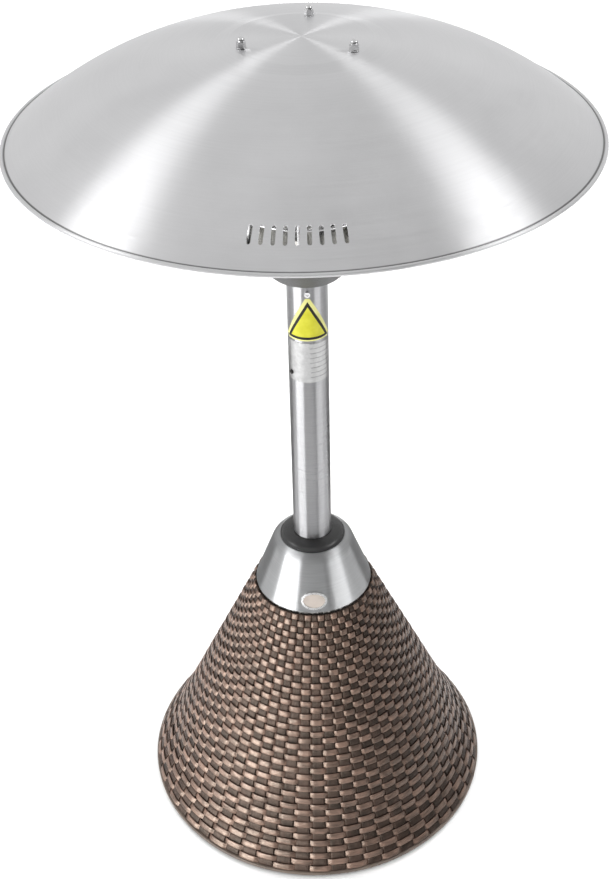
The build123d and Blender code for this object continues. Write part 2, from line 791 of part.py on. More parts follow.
def head_studs():
    """Long studs that tie the lamp plates and the dome together."""
    top = crown_height(stud_circle) + washer_thickness + acorn_height - 3
    return [rod(stud_radius, lower_plate_z - 6, top, x, y) for x, y in stud_spots()]


def stud_nuts():
    """Hexagon nuts under the lower lamp plate."""
    blank = extrude(RegularPolygon(4, 6, major_radius=False), 4) - rod(stud_radius, -1, 5)
    return [Pos(x, y, lower_plate_z - 4) * blank for x, y in stud_spots()]


def stud_spacers():
    """Tubes on the studs between the two lamp plates."""
    bore = stud_radius + fit_gap
    return [ring(pillar_radius, bore, lower_plate_top, upper_plate_z, x, y) for x, y in stud_spots()]


def dome_spacers():
    """Short tubes on the studs between the upper plate and the dome."""
    bottom = upper_plate_z + lamp_plate_wall
    top = crown_height(stud_circle + 6) - dome_wall
    bore = stud_radius + fit_gap
    return [ring(6, bore, bottom, top, x, y) for x, y in stud_spots()]


def central_reflector():
    """Polished hollow column with a flute behind each lamp."""
    section = Circle(reflector_radius)
    hollow = Circle(reflector_radius - reflector_wall)
    for x, y in lamp_spots():
        section -= Pos(x, y) * Circle(reflector_flute)
        hollow -= Pos(x, y) * Circle(reflector_flute + reflector_wall)
    wall = Pos(0, 0, lower_plate_top) * extrude(section - hollow, upper_plate_z - lower_plate_top)
    return wall - reflector_relief()


def reflector_relief():
    """Room inside the foot of the column for the screw heads of the lower lamp plate."""
    low = lower_plate_top - 1
    high = lower_plate_top + 3
    return Compound([rod(4.2, low, high, x, y) for x, y in standoff_spots()])


def lamp_holders():
    """Blocks on both plates that hold the ends of the lamps."""
    low = lower_plate_top + lamp_holder_height / 2
    high = upper_plate_z - lamp_holder_height / 2
    block = Cylinder(lamp_holder_radius, lamp_holder_height)
    return [Pos(x, y, z) * block for x, y in lamp_spots() for z in (low, high)]


def lamp_end_caps():
    """Ceramic caps with a blind bore for the glass."""
    low = lower_plate_top + lamp_holder_height
    high = upper_plate_z - lamp_holder_height
    bore = rod(lamp_radius, lamp_cap_length / 2, lamp_cap_length + 1)
    cup = rod(lamp_cap_radius, 0, lamp_cap_length) - bore
    both = ((low, cup), (high, Rot(180, 0, 0) * cup))
    return [Pos(x, y, z) * cap for x, y in lamp_spots() for z, cap in both]


def lamp_ends():
    """Lowest and highest points of the lamp glass."""
    inset = lamp_holder_height + lamp_cap_length / 2
    return lower_plate_top + inset, upper_plate_z - inset


def quartz_lamps():
    """Upright quartz tubes."""
    low, high = lamp_ends()
    return [ring(lamp_radius, lamp_radius - lamp_wall, low, high, x, y) for x, y in lamp_spots()]


def lamp_filaments():
    """Heating elements inside the quartz tubes."""
    low, high = lamp_ends()
    return [rod(1.6, low, high, x, y) for x, y in lamp_spots()]


def head_connector():
    """Ceramic connector under the lower lamp plate, where the lead up the post ends."""
    return Pos(0, 0, lower_plate_z - connector_height / 2) * Box(26, 18, connector_height)


def guard_hoops():
    """Hoops of the wire guard round the lamps."""
    low = bowl_top + cage_hoop_wire
    high = upper_plate_z - cage_hoop_wire
    step = (high - low) / (cage_hoops - 1)
    hoop = Torus(cage_radius, cage_hoop_wire)
    return [Pos(0, 0, low + step * i) * hoop for i in range(cage_hoops)]


def guard_bars():
    """Upright bars of the guard, welded to the outsides of the hoops."""
    low = bowl_top + cage_hoop_wire
    places = spots(cage_bar_circle, cage_bars, cage_turn)
    return [rod(cage_wire, low, upper_plate_z, x, y) for x, y in places]


# ---------------------------------------------------------------- dome
def dome_arc(drop):
    """The skirt's curve from the crown's step to the lip, lowered by a drop."""
    inner = (crown_radius + crown_step, crown_z - crown_step_fall - drop)
    outer = (dome_radius - dome_lip, dome_rim_z + 1.5 - drop)
    middle = ((inner[0] + outer[0]) / 2, (inner[1] + outer[1]) / 2 + dome_bow)
    return ThreePointArc(inner, middle, outer)


def reflector_dome():
    """Spun dome: a shallow crown, a step round it, the bowed skirt and a rolled hem round the rim."""
    drop = dome_wall
    edges = []
    for level in (0, drop):
        top = (0, crown_height(0) - level)
        halfway = (crown_radius / 2, crown_height(crown_radius / 2) - level)
        crease = (crown_radius, crown_z - level)
        step_foot = (crown_radius + crown_step, crown_z - crown_step_fall - level)
        edges += [ThreePointArc(top, halfway, crease), Line(crease, step_foot), dome_arc(level)]
    hem_circle = dome_radius - dome_hem
    lip = Polyline(
        (dome_radius - dome_lip, dome_rim_z + 1.5),
        (hem_circle, dome_rim_z + 1.2),
        (hem_circle, dome_rim_z + 1.2 - drop),
        (dome_radius - dome_lip, dome_rim_z + 1.5 - drop),
    )
    axis = Line((0, crown_height(0)), (0, crown_height(0) - drop))
    hem = Pos(0, 0, dome_rim_z - drop + dome_hem) * Torus(hem_circle, dome_hem)
    dome = turned(*edges, lip, axis) + hem
    slot = extrude(SlotOverall(vent_length, vent_width), 60)
    for i in range(vent_count):
        angle = -90 + vent_turn + vent_pitch * (i - (vent_count - 1) / 2)
        dome -= Rot(0, 0, angle) * Pos(dome_radius - vent_inset, 0, dome_rim_z - 5) * slot
    for x, y in stud_spots():
        dome -= rod(stud_radius + fit_gap, crown_z - 20, crown_z + 20, x, y)
    return dome


def dome_washers():
    """Washers on the crown under the acorn nuts."""
    low = crown_height(stud_circle - washer_radius)
    bore = stud_radius + fit_gap
    high = low + washer_thickness
    return [ring(washer_radius, bore, low, high, x, y) for x, y in stud_spots()]


def acorn_nuts():
    """Domed nuts that hold the dome to the studs."""
    low = crown_height(stud_circle - washer_radius) + washer_thickness
    hexagon = extrude(RegularPolygon(acorn_flats / 2, 6, major_radius=False), 5)
    cap_radius = acorn_flats / 2 - 0.25
    cap_z = acorn_height - cap_radius
    cap = rod(cap_radius, 5, cap_z) + Pos(0, 0, cap_z) * Sphere(cap_radius)
    nut = hexagon + cap - rod(stud_radius, -1, acorn_height - 2)
    return [Pos(x, y, low) * nut for x, y in stud_spots()]


# The switch lead ends at the blades of the switch, inside the sloping wall of the cone.
switch_lead_y = cone_radius(cone_z + switch_height) - switch_depth - switch_blade
switch_lead_top = cone_z + switch_height - 14

pieces = [
    rubber_feet, foot_screws, base_plate, base_edging, ballast_weight, ballast_bolts, post_flange,
    flange_screws, inner_shell, wicker_cover, top_plate, steel_cone, collar_ring, badge_rim,
    badge_insert, switch_housing, switch_rocker, switch_terminals, cable_gland, gland_nut,
    terminal_block, terminal_screws, post_lead, switch_lead, plunger_housing, tip_plunger,
    tip_spring, tip_switch_body, lever_pin, tip_switch_lever, tip_switch_bracket, bracket_screws,
    post_tube, post_rivet, yellow_label, rating_label, head_spigot, spigot_screws, head_bowl,
    plate_standoffs, standoff_screws, lower_lamp_plate, upper_lamp_plate, head_studs, stud_nuts,
    stud_spacers, dome_spacers, central_reflector, lamp_holders, lamp_end_caps, quartz_lamps,
    lamp_filaments, head_connector, guard_hoops, guard_bars, reflector_dome, dome_washers, acorn_nuts,
]

os.makedirs("parts", exist_ok=True)
for piece in pieces:
    made = piece()
    shape = Compound(made) if isinstance(made, list) else made
    export_step(shape, f"parts/{piece.__name__}.step")
print(len(pieces), "nodes written")
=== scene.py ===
"""Looks of the table-top patio heater: the woven cover, the finishes and a plain studio."""
import math

import bpy
import numpy as np
from mathutils import Matrix, Vector


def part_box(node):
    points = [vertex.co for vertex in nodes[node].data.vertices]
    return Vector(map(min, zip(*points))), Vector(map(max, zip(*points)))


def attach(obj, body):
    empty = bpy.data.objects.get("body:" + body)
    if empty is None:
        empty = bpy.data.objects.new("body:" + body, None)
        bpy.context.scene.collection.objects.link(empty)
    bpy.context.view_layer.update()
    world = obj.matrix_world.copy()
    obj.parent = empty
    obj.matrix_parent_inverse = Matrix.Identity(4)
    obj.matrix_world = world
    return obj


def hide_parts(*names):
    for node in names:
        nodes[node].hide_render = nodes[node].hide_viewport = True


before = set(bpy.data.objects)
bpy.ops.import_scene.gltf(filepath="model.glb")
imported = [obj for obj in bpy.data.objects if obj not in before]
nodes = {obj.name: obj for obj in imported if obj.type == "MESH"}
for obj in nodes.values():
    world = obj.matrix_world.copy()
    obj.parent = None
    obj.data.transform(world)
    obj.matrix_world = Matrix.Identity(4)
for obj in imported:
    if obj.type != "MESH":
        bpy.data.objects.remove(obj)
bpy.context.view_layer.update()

MM = 0.001


# ---------------------------------------------------------------- mesh helpers
def piece(name, points, faces, body, slot_name, replaced=()):
    """A smooth mesh object that rides on a CAD body."""
    mesh = bpy.data.meshes.new(name)
    mesh.from_pydata([tuple(p) for p in points], [], [tuple(f) for f in faces])
    mesh.shade_smooth()
    made = bpy.data.objects.new(name, mesh)
    bpy.context.scene.collection.objects.link(made)
    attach(made, body)
    if replaced:
        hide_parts(*replaced)
    return made


def sweep_grid(first, rows, columns, close_rows, close_columns):
    """Quads over a grid of points numbered row by row from first."""
    row_steps = rows if close_rows else rows - 1
    column_steps = columns if close_columns else columns - 1
    row, column = np.meshgrid(np.arange(row_steps), np.arange(column_steps), indexing="ij")
    after = (row + 1) % rows
    beside = (column + 1) % columns
    corners = [
        row * columns + column,
        row * columns + beside,
        after * columns + beside,
        after * columns + column,
    ]
    return first + np.stack(corners, axis=-1).reshape(-1, 4)


# ---------------------------------------------------------------- the woven cover
stake_count = 58              # even, so that each strand meets itself after one turn
stake_share = 0.8             # width of a stake, as a share of the space between their middles
stake_thickness = 1.0 * MM
stake_wave = 0.5 * MM         # how far a stake goes in and out between the strands
stake_lean = 0.35 * MM        # how far a stake strays sideways
stake_bends = (3, 9)          # least and most radians of that stray from foot to top
stake_samples_per_row = 6
stake_seed = 11

row_pitch = 7.6 * MM          # from one strand to the next, up the slope
strand_width = 7.2 * MM
strand_thickness = 1.1 * MM
strand_wave = 1.45 * MM       # how far a strand goes in and out as it passes the stakes
strand_drift = 0.25 * MM      # slow stray up and down the slope
strand_drift_cycles = (2, 6)  # times round in one turn: from the first to just below the second
strand_wobble = 0.15 * MM     # quick stray up and down the slope
strand_wobble_cycles = (19, 37)
strand_tilt = 0.12            # most slope of a strand across its width
strand_samples_per_stake = 12
strand_seed = 7

wave_sharpness = 2.6          # higher makes the tops of the waves flatter and the steps shorter
phase_range = 6.28            # a wave starts anywhere in one cycle
gland_gap = 9.5 * MM          # the weave stops this far from the gland's axis, under its flange

flare_width = 22.0 * MM       # the foot of the cover flares out this much
flare_top = 40.0 * MM         # the cover flares out below this height
flare_bulge = 1.5 * MM        # how far the flare bows outwards
flare_samples = 24
top_overhang = 4.0 * MM       # the cover's top reaches this far past the top plate
middle_inset = 2.2 * MM       # from the cover's outer face to the middle of the weave


def cover_profile():
    """Distance up the slope, radius and height along the middle of the weave, from foot to top."""
    low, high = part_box("wicker_cover")
    foot_radius, foot_z, top_z = high.x, low.z, high.z
    top_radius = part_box("top_plate")[1].x + top_overhang
    knee_radius = foot_radius - flare_width
    t = np.linspace(0, 1, flare_samples)
    straight = foot_radius + (knee_radius - foot_radius) * t
    flare_radius = straight + flare_bulge * 4 * t * (1 - t)
    flare_z = foot_z + (flare_top - foot_z) * t
    wall_radius = knee_radius + (top_radius - knee_radius) * t[1:]
    wall_z = flare_top + (top_z - flare_top) * t[1:]
    radii = np.concatenate([flare_radius, wall_radius]) - middle_inset
    heights = np.concatenate([flare_z, wall_z])
    steps = np.hypot(np.diff(radii), np.diff(heights))
    along = np.concatenate([[0], np.cumsum(steps)])
    return along, radii, heights


along, profile_radius, profile_z = cover_profile()
slope_length = along[-1]


def on_profile(distance):
    """Radius, height and outward direction, as its two parts, at a distance up the weave."""
    radius = np.interp(distance, along, profile_radius)
    height = np.interp(distance, along, profile_z)
    step = 2 * MM
    ahead = np.clip(distance + step, 0, slope_length)
    behind = np.clip(distance - step, 0, slope_length)
    run = np.interp(ahead, along, profile_radius) - np.interp(behind, along, profile_radius)
    rise = np.interp(ahead, along, profile_z) - np.interp(behind, along, profile_z)
    length = np.hypot(run, rise)
    return radius, height, rise / length, -run / length


def flat_section(width, thickness):
    """Across and out offsets round a flat strip with rounded edges, from shares of its two sizes."""
    across_shares = [-0.5, -0.42, -0.2, 0.2, 0.42, 0.5, 0.42, 0.2, -0.2, -0.42]
    out_shares = [0.0, 0.42, 0.5, 0.5, 0.42, 0.0, -0.42, -0.5, -0.5, -0.42]
    return np.array(across_shares) * width, np.array(out_shares) * thickness


def stepped(wave):
    """A wave with flat tops and short steps, as a strip lies flat over a stake and dips between two."""
    return np.tanh(wave_sharpness * wave) / math.tanh(wave_sharpness)


def gather(strips):
    """Points and faces of strips, each a grid of section points and whether it closes on itself."""
    points, faces, count = [], [], 0
    for grid, closed in strips:
        rows, columns = grid.shape[:2]
        points.append(grid.reshape(-1, 3))
        faces.extend(map(tuple, sweep_grid(count, rows, columns, closed, True)))
        if not closed:
            last = count + (rows - 1) * columns
            faces.append(tuple(range(count, count + columns))[::-1])
            faces.append(tuple(range(last, last + columns)))
        count += rows * columns
    return np.concatenate(points), faces


def row_count():
    """How many strands lie one above the other."""
    return int(slope_length / row_pitch)


def gland_distance():
    """How far up the weave the gland's axis comes through."""
    low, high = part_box("cable_gland")
    return np.interp((low.z + high.z) / 2, profile_z, along)


def strand_rows():
    """The strands that go round the cover, in front of and behind every other stake."""
    rng = np.random.default_rng(strand_seed)
    across, out = flat_section(strand_width, strand_thickness)
    pitch = slope_length / row_count()
    strips = []
    for row in range(row_count()):
        middle = (row + 0.5) * pitch
        past = max(0.0, abs(middle - gland_distance()) - strand_width / 2)
        stopped = past < gland_gap
        gap = math.sqrt(max(0.0, gland_gap ** 2 - past ** 2)) / on_profile(middle)[0]
        turn = 2 * math.pi - 2 * gap if stopped else 2 * math.pi
        samples = stake_count * strand_samples_per_stake
        angle = math.pi + gap + np.linspace(0, turn, samples, endpoint=stopped)
        drift_angle = angle * rng.integers(*strand_drift_cycles) + rng.uniform(0, phase_range)
        wobble_angle = angle * rng.integers(*strand_wobble_cycles) + rng.uniform(0, phase_range)
        stray = strand_drift * np.sin(drift_angle) + strand_wobble * np.sin(wobble_angle)
        wave = strand_wave * stepped(np.cos(angle * stake_count / 2 + math.pi * (row % 2)))
        tilt = rng.uniform(-strand_tilt, strand_tilt)
        radius, height, out_r, out_z = on_profile(middle + stray)
        up_r, up_z = -out_z, out_r
        ring = []
        for side, lift in zip(across, out):
            away = wave + lift + side * tilt
            r = radius + up_r * side + out_r * away
            z = height + up_z * side + out_z * away
            ring.append(np.stack([r * np.sin(angle), -r * np.cos(angle), z], axis=-1))
        strips.append((np.stack(ring, axis=1), not stopped))
    return gather(strips)


def stake_spans(stake):
    """Where a stake starts and ends up the slope: in two lengths if the gland comes through it."""
    if stake != stake_count // 2:
        return [(0, slope_length)]
    return [(0, gland_distance() - gland_gap), (gland_distance() + gland_gap, slope_length)]


def stake_strips():
    """The upright stakes, which run up the slope and lie flat between the strands."""
    rng = np.random.default_rng(stake_seed)
    across, out = flat_section(1.0, stake_thickness)
    strips = []
    for stake in range(stake_count):
        middle = stake / stake_count * 2 * math.pi
        bend, phase = rng.uniform(*stake_bends), rng.uniform(0, phase_range)
        for low, high in stake_spans(stake):
            samples = int((high - low) / row_pitch * stake_samples_per_row) + 2
            distance = np.linspace(low, high, samples)
            radius, height, out_r, out_z = on_profile(distance)
            lean = stake_lean * np.sin(distance / slope_length * bend + phase)
            rows_passed = distance / slope_length * row_count()
            crossing = rows_passed * math.pi + math.pi * (stake % 2 - 0.5)
            wave = -stake_wave * stepped(np.cos(crossing))
            width = 2 * math.pi * radius / stake_count * stake_share
            ring = []
            for side, lift in zip(across, out):
                r = radius + out_r * (wave + lift)
                z = height + out_z * (wave + lift)
                sideways = side * width + lean
                x = sideways * math.cos(middle) + r * math.sin(middle)
                y = sideways * math.sin(middle) - r * math.cos(middle)
                ring.append(np.stack([x, y, z], axis=-1))
            strips.append((np.stack(ring, axis=1), False))
    return gather(strips)


# ---------------------------------------------------------------- the dome's hem
hem_radius = 1.9 * MM         # radius of the roll
hem_skin = 0.12 * MM          # the skin lies this far outside the CAD's roll
hem_groove_inset = 4.6 * MM   # from the rim to the groove where the roll meets the skirt
hem_parts_round = 360
hem_parts_across = 24


def hem_ring():
    """The rolled hem round the dome's rim, as a finer skin over it."""
    low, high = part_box("reflector_dome")
    turn = (np.arange(hem_parts_round) / hem_parts_round * 2 * math.pi)[:, None]
    roll = (np.arange(hem_parts_across) / hem_parts_across * 2 * math.pi)[None, :]
    radius = high.x - hem_radius + (hem_radius + hem_skin) * np.cos(roll)
    z = low.z + hem_radius + (hem_radius + hem_skin) * np.sin(roll)
    grid = np.stack([radius * np.cos(turn), radius * np.sin(turn), z + 0 * turn], axis=-1)
    return gather([(grid, True)])


# ---------------------------------------------------------------- node helpers
def start(name):
    """A new material with its tree and its surface shader."""
    made = bpy.data.materials.new(name)
    made.use_nodes = True
    return made, made.node_tree, made.node_tree.nodes["Principled BSDF"]


def feed(tree, socket, value):
    """Links a socket to another node's output, or sets it to a plain value."""
    if isinstance(value, bpy.types.NodeSocket):
        tree.links.new(value, socket)
    else:
        socket.default_value = value


def add(tree, kind, inputs=None, **settings):
    """A shader node with its settings, fed by plain values or by other nodes' outputs."""
    made = tree.nodes.new("ShaderNode" + kind)
    for key, value in settings.items():
        setattr(made, key, value)
    for key, value in (inputs or {}).items():
        feed(tree, made.inputs[key], value)
    return made


def use(tree, shader, **sockets):
    """Feeds the shader's sockets, named with _ for a space."""
    for key, value in sockets.items():
        feed(tree, shader.inputs[key.replace("_", " ")], value)


def calc(tree, operation, first, second=0.0):
    """The result of a sum on one or two numbers."""
    return add(tree, "Math", {0: first, 1: second}, operation=operation).outputs[0]


def place(tree):
    """Coordinates in the heater's own frame, in metres."""
    return add(tree, "TexCoord").outputs["Object"]


def around(tree, where, turns_scale, radius_scale, height_scale):
    """Coordinates round the heater's axis: angle from the front, radius and height, each scaled."""
    x, y, z = add(tree, "SeparateXYZ", {0: where}).outputs
    forward = calc(tree, "MULTIPLY", y, -1.0)
    angle = calc(tree, "ARCTAN2", x, forward)
    flat = add(tree, "CombineXYZ", {0: x, 1: y, 2: 0.0}).outputs[0]
    radius = add(tree, "VectorMath", {0: flat}, operation="LENGTH").outputs["Value"]
    scaled = {
        0: calc(tree, "MULTIPLY", angle, turns_scale),
        1: calc(tree, "MULTIPLY", radius, radius_scale),
        2: calc(tree, "MULTIPLY", z, height_scale),
    }
    return add(tree, "CombineXYZ", scaled).outputs[0]


def noise(tree, where, scale, detail=4.0, roughness=0.55):
    """An uneven pattern between 0 and 1, finer as the scale goes up."""
    inputs = {"Vector": where, "Scale": scale, "Detail": detail, "Roughness": roughness}
    return add(tree, "TexNoise", inputs).outputs[0]


def remap(tree, value, first, last, low, high, ease="LINEAR"):
    """A value that runs from first to last, made to run from low to high and held at both ends."""
    inputs = {0: value, 1: first, 2: last, 3: low, 4: high}
    return add(tree, "MapRange", inputs, interpolation_type=ease).outputs[0]


def spread(tree, pattern, low, high):
    """The middle range of a noise pattern, where most of it lies, made to run from low to high."""
    return remap(tree, pattern, 0.3, 0.7, low, high)


def tint(tree, factor, first, second):
    """Colour that goes from first to second as factor goes from 0 to 1."""
    inputs = {0: factor, 6: colour(first), 7: colour(second)}
    return add(tree, "Mix", inputs, data_type="RGBA").outputs[2]


def colour(value):
    """Three numbers as the four that a socket takes; a socket stays as it is."""
    return value if isinstance(value, bpy.types.NodeSocket) else (*value, 1.0)


def grey(value):
    """A colour with no hue."""
    return (value, value, value)


def relief(tree, height, strength, depth):
    """Surface normals roughened by a height pattern."""
    return add(tree, "Bump", {"Height": height, "Strength": strength, "Distance": depth}).outputs[0]


# ---------------------------------------------------------------- finishes
groove_core = 0.3 * MM        # a groove is darkest this close to its middle
groove_reach = 1.3 * MM       # and free of the painted shade from here outwards
painted_groove_shade = 0.75            # how much of the metal's colour the painted shade in the groove hides


def spun(name, dark, light, rough, ring_scale, groove=None):
    """Metal turned or ground round the heater's axis, with fine rings and a faint unevenness.
    A painted shade darkens the groove at a given distance from the axis."""
    made, tree, shader = start(name)
    where = place(tree)
    rings = noise(tree, around(tree, where, 1.2, ring_scale, ring_scale), 1.0, 3.0)
    cloud = noise(tree, where, 14.0, 3.0)
    shade = tint(tree, spread(tree, rings, 0.0, 1.0), dark, light)
    if groove:
        # Painted shade: a dark ring in the groove stands in for the shadow where the hem meets the skirt.
        radius = add(tree, "SeparateXYZ", {0: around(tree, where, 1.0, 1.0, 1.0)}).outputs[1]
        away = calc(tree, "ABSOLUTE", calc(tree, "SUBTRACT", radius, groove))
        painted_shade = remap(tree, away, groove_core, groove_reach, painted_groove_shade, 0.0, "SMOOTHSTEP")
        shade = tint(tree, painted_shade, shade, (0.03, 0.03, 0.03))
    ring_rough = spread(tree, rings, -0.03, 0.03)
    cloud_rough = spread(tree, cloud, rough - 0.03, rough + 0.03)
    uneven = calc(tree, "ADD", ring_rough, cloud_rough)
    tangent = add(tree, "Tangent", None, direction_type="RADIAL", axis="Z").outputs[0]
    use(tree, shader, Base_Color=shade, Metallic=1.0, Roughness=uneven, Anisotropic=1.0,
        Anisotropic_Rotation=0.25, Tangent=tangent, Normal=relief(tree, rings, 0.12, 0.4 * MM))
    return made


def bright_metal(name, dark, light, rough, grain):
    """Plated or plain metal with small handling marks."""
    made, tree, shader = start(name)
    where = place(tree)
    marks = noise(tree, where, grain, 2.0)
    cloud = noise(tree, where, 60.0, 3.0)
    shade = tint(tree, spread(tree, cloud, 0.0, 1.0), dark, light)
    uneven = spread(tree, marks, rough * 0.75, rough * 1.3)
    use(tree, shader, Base_Color=shade, Metallic=1.0, Roughness=uneven,
        Normal=relief(tree, marks, 0.06, 0.2 * MM))
    return made


def coated(name, dark, light, rough, grain, depth):
    """Moulded, painted or rubber surface: a fine grain over a slow change of colour."""
    made, tree, shader = start(name)
    where = place(tree)
    fine = noise(tree, where, grain, 4.0)
    cloud = noise(tree, where, 25.0, 3.0)
    shade = tint(tree, spread(tree, cloud, 0.0, 1.0), dark, light)
    uneven = spread(tree, fine, rough * 0.85, min(1.0, rough * 1.15))
    use(tree, shader, Base_Color=shade, Roughness=uneven, Normal=relief(tree, fine, 0.35, depth))
    return made


def quartz():
    """Clear lamp tube with a little waviness from drawing."""
    made, tree, shader = start("look_quartz")
    where = place(tree)
    wave = noise(tree, where, 90.0, 2.0)
    use(tree, shader, Base_Color=(0.97, 0.98, 1.0, 1.0), Transmission_Weight=1.0, IOR=1.46,
        Roughness=spread(tree, wave, 0.02, 0.08), Normal=relief(tree, wave, 0.1, 0.3 * MM))
    return made


def woven(name, dark, light, rough, gloss, along_turn):
    """Flat cane: long fibres that follow the strip, and uneven colour along it and between strips.
    The fibres run round the axis if along_turn is set, and up the slope if it isn't."""
    made, tree, shader = start(name)
    where = place(tree)
    if along_turn:
        fibre_space = around(tree, where, 12.0, 1100.0, 1100.0)
        patch_space = around(tree, where, 9.0, 60.0, 130.0)
    else:
        fibre_space = around(tree, where, 480.0, 40.0, 40.0)
        patch_space = around(tree, where, 9.2, 60.0, 60.0)
    fibres = noise(tree, fibre_space, 1.0, 5.0, 0.7)
    patches = noise(tree, patch_space, 1.0, 3.0)
    half_fibres = calc(tree, "MULTIPLY", fibres, 0.5)
    half_patches = calc(tree, "MULTIPLY", patches, 0.5)
    mixed = calc(tree, "ADD", half_fibres, half_patches)
    shade = tint(tree, remap(tree, mixed, 0.41, 0.6, 0.0, 1.0), dark, light)
    uneven = spread(tree, fibres, rough - 0.08, rough + 0.12)
    use(tree, shader, Base_Color=shade, Roughness=uneven, Specular_IOR_Level=gloss,
        Specular_Tint=(1.0, 0.82, 0.68, 1.0), Normal=relief(tree, fibres, 0.8, 0.6 * MM))
    return made


triangle_half = 29.0 * MM     # half the triangle's foot, measured round the post
halo_width = 1.7 * MM         # pale edge of the triangle
border_width = 3.2 * MM       # dark border inside it
edge_unevenness = 0.08 * MM


def triangle_label():
    """Yellow triangle with a dark border and a pale edge, drawn on the post's surface."""
    made, tree, shader = start("look_triangle_label")
    where = place(tree)
    low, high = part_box("yellow_label")
    height = high.z - low.z
    post_radius = -low.y
    turned = around(tree, where, post_radius, 1.0, 1.0)
    round_post, radius, z = add(tree, "SeparateXYZ", {0: turned}).outputs
    sideways = calc(tree, "ABSOLUTE", round_post)
    above = calc(tree, "SUBTRACT", z, low.z)
    slope = math.hypot(triangle_half, height)
    side_across = calc(tree, "MULTIPLY", sideways, height / slope)
    side_up = calc(tree, "MULTIPLY", above, triangle_half / slope)
    side = calc(tree, "ADD", side_across, side_up)
    side_inset = calc(tree, "SUBTRACT", triangle_half * height / slope, side)
    even_inset = calc(tree, "MINIMUM", above, side_inset)
    speck = noise(tree, where, 900.0, 2.0)
    unevenness = spread(tree, speck, -edge_unevenness, edge_unevenness)
    inset = calc(tree, "ADD", even_inset, unevenness)
    past_halo = calc(tree, "GREATER_THAN", inset, halo_width)
    past_border = calc(tree, "GREATER_THAN", inset, halo_width + border_width)
    cloud = noise(tree, where, 120.0, 3.0)
    yellow = tint(tree, spread(tree, cloud, 0.0, 1.0), (0.5, 0.48, 0.018), (0.58, 0.56, 0.04))
    pale = tint(tree, spread(tree, cloud, 0.0, 1.0), (0.62, 0.6, 0.2), (0.68, 0.66, 0.28))
    edged = tint(tree, past_halo, pale, (0.01, 0.009, 0.006))
    drawn = tint(tree, past_border, edged, yellow)
    use(tree, shader, Base_Color=drawn, Roughness=spread(tree, speck, 0.45, 0.6),
        Specular_IOR_Level=0.3, Normal=relief(tree, cloud, 0.15, 0.2 * MM))
    return made


line_pitch = 6.2 * MM         # from one ruled line to the next, up the silver label
line_width = 1.3 * MM


def ruled_foil():
    """Brushed silver foil with a few plain ruled lines across its right part."""
    made, tree, shader = start("look_foil")
    where = place(tree)
    low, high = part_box("rating_label")
    x, y, z = add(tree, "SeparateXYZ", {0: where}).outputs
    above = calc(tree, "SUBTRACT", z, low.z)
    wear = noise(tree, where, 260.0, 3.0)
    along_line = calc(tree, "MODULO", above, line_pitch)
    past_start = calc(tree, "GREATER_THAN", x, spread(tree, wear, 0.5 * MM, 3.0 * MM))
    on_line = calc(tree, "LESS_THAN", along_line, line_width)
    clear_of_edge = calc(tree, "GREATER_THAN", above, line_pitch)
    started = calc(tree, "MULTIPLY", past_start, on_line)
    ruled = calc(tree, "MULTIPLY", started, clear_of_edge)
    grain = noise(tree, where, 300.0, 2.0)
    plain = tint(tree, spread(tree, grain, 0.0, 1.0), (0.4, 0.4, 0.4), (0.48, 0.48, 0.48))
    ink = calc(tree, "MULTIPLY", ruled, spread(tree, wear, 0.25, 0.6))
    use(tree, shader, Base_Color=tint(tree, ink, plain, (0.12, 0.12, 0.12)), Metallic=1.0,
        Roughness=spread(tree, grain, 0.3, 0.42), Normal=relief(tree, grain, 0.06, 0.2 * MM))
    return made


# The dome gets a painted shade in the groove at this distance from the axis.
hem_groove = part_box("reflector_dome")[1].x - hem_groove_inset

